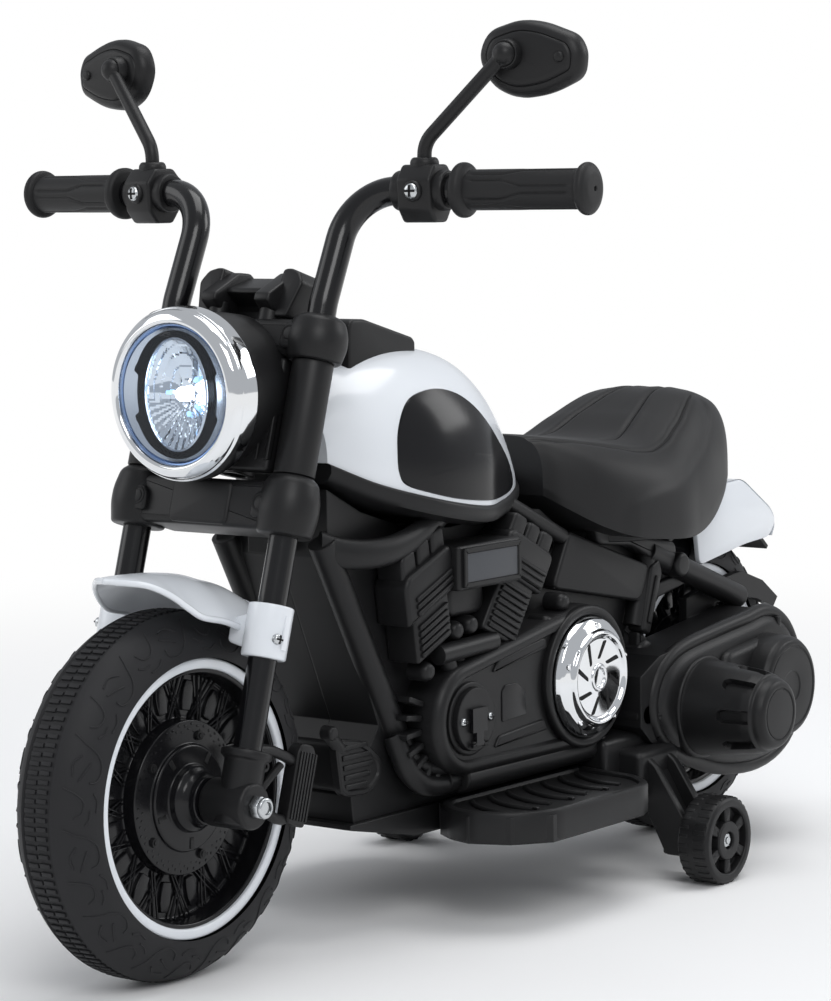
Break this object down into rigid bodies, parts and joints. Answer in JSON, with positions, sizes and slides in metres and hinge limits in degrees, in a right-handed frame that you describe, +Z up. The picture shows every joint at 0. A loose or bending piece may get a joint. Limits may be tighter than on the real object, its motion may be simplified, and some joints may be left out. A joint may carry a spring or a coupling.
{
  "type": "kids electric ride-on motorbike",
  "caption": "Child-size electric cruiser motorbike with steering fork, spinning wheels, side stabiliser wheels, geared rear drive, saddle, footboards and tilting mirrors.",
  "frame": {"origin": "floor point under the middle of the wheelbase, at the centre of the bounding box", "axes": "-Y is the way the bike faces, +X its rider's left, +Z up"},
  "size_m": [0.4606, 0.802, 0.5864],
  "materials": {
    "tyre_black": "matte foam tyre",
    "satin_black": "satin moulded plastic",
    "gloss_black": "glossy moulded plastic",
    "black_tube": "gloss painted steel tube",
    "white_gloss": "glossy white plastic",
    "chrome": "bright chrome",
    "steel": "zinc plated",
    "grip_rubber": "matte rubber",
    "seat_skin": "satin leather-look",
    "clear": "clear",
    "reflector": "metallised",
    "lamp": "clear lamp",
    "gear_white": "moulded nylon",
    "battery_grey": "moulded case",
    "board_green": "potted board",
    "red_plastic": "glossy"
  },
  "bodies": {
    "frame": {"head_tube": "satin_black", "floor_pan": "satin_black", "body_shell_left": "satin_black", "body_shell_right": "satin_black", "engine_cover_left": "satin_black", "engine_cover_right": "satin_black", "chrome_covers": "chrome", "charge_port": "satin_black", "tank_shell": "white_gloss", "tank_tray": "satin_black", "console": "satin_black", "seat_pad": "seat_skin", "seat_base": "satin_black", "rear_fender": "white_gloss", "inner_fender": "satin_black", "gearbox_housing": "satin_black", "drive_motor": "steel", "gearbox_cover": "gloss_black", "rear_arm_right": "gloss_black", "rear_axle": "steel", "stabiliser_brackets": "satin_black", "body_fasteners": "steel", "battery": "battery_grey", "control_board": "board_green"},
    "front_wheel": {"front_tyre": "tyre_black", "front_rim": "satin_black", "front_rim_rings": "white_gloss"},
    "rear_wheel": {"rear_tyre": "tyre_black", "rear_rim": "satin_black", "rear_rim_rings": "white_gloss", "drive_gear": "gear_white"},
    "idler": {"reduction_gear": "gear_white"},
    "pinion": {"motor_pinion": "steel"},
    "mirror_left": {"mirror_head_left": "satin_black", "mirror_glass_left": "reflector"},
    "mirror_right": {"mirror_head_right": "satin_black", "mirror_glass_right": "reflector"},
    "stabiliser_left": {"stabiliser_wheel_left": "satin_black"},
    "stabiliser_right": {"stabiliser_wheel_right": "satin_black"},
    "pedal": {"accelerator_pedal": "satin_black"},
    "button": {"start_button": "red_plastic"},
    "rocker": {"direction_switch": "gloss_black"},
    "flap": {"charge_flap": "gloss_black"},
    "fork": {"lower_clamp": "gloss_black", "upper_clamp": "gloss_black", "fork_legs": "black_tube", "fork_ends": "satin_black", "front_axle": "steel", "front_fender": "white_gloss", "headlight_bucket": "gloss_black", "headlight_bezel": "chrome", "headlight_reflector": "reflector", "headlight_lens": "clear", "headlight_lamp": "lamp", "dash_box": "satin_black", "handlebars": "black_tube", "grips": "grip_rubber", "bar_clamps": "satin_black", "mirror_stems": "satin_black", "fork_fasteners": "steel"}
  },
  "joints": [
    {"name": "steering", "type": "hinge", "parent": "frame", "child": "fork", "pos_m": [0, -0.2726, 0.11093], "axis": [0, 0.2907, 0.9568], "range_deg": [-30, 30]},
    {"name": "front_wheel_spin", "type": "hinge", "parent": "fork", "child": "front_wheel", "pos_m": [0, -0.286, 0.115], "axis": [1, 0, 0], "continuous": true},
    {"name": "rear_wheel_spin", "type": "hinge", "parent": "frame", "child": "rear_wheel", "pos_m": [0, 0.286, 0.115], "axis": [1, 0, 0], "continuous": true},
    {"name": "reduction_spin", "type": "hinge", "parent": "frame", "child": "idler", "pos_m": [0.06, 0.23609, 0.11204], "axis": [1, 0, 0], "continuous": true},
    {"name": "pinion_spin", "type": "hinge", "parent": "frame", "child": "pinion", "pos_m": [0.06, 0.20165, 0.11], "axis": [1, 0, 0], "continuous": true},
    {"name": "stabiliser_left_spin", "type": "hinge", "parent": "frame", "child": "stabiliser_left", "pos_m": [0.137, 0.135, 0.0305], "axis": [1, 0, 0], "continuous": true},
    {"name": "stabiliser_right_spin", "type": "hinge", "parent": "frame", "child": "stabiliser_right", "pos_m": [-0.137, 0.135, 0.0305], "axis": [1, 0, 0], "continuous": true},
    {"name": "mirror_left_tilt", "type": "hinge", "parent": "fork", "child": "mirror_left", "pos_m": [0.16063, -0.14052, 0.56544], "axis": [1, 0, 0], "range_deg": [-12, 12]},
    {"name": "mirror_right_tilt", "type": "hinge", "parent": "fork", "child": "mirror_right", "pos_m": [-0.16063, -0.14052, 0.56544], "axis": [1, 0, 0], "range_deg": [-12, 12]},
    {"name": "accelerator", "type": "hinge", "parent": "frame", "child": "pedal", "pos_m": [-0.092, 0.004, 0.088], "axis": [1, 0, 0], "range_deg": [0, 7], "stiffness_Nm_per_rad": 4},
    {"name": "start_button_press", "type": "slide", "parent": "frame", "child": "button", "axis": [0, 0, -1], "range_m": [0, 0.0025], "stiffness_N_per_m": 400},
    {"name": "direction_rock", "type": "hinge", "parent": "frame", "child": "rocker", "pos_m": [0, -0.0862, 0.3865], "axis": [1, 0, 0], "range_deg": [-8, 8]},
    {"name": "charge_flap_open", "type": "hinge", "parent": "frame", "child": "flap", "pos_m": [0.0745, -0.057, 0.12], "axis": [0, 1, 0], "range_deg": [0, 90]}
  ],
  "couplings": [
    {"joint": "reduction_spin", "follows": "rear_wheel_spin", "ratio": -3.1667},
    {"joint": "pinion_spin", "follows": "rear_wheel_spin", "ratio": 11.4}
  ]
}
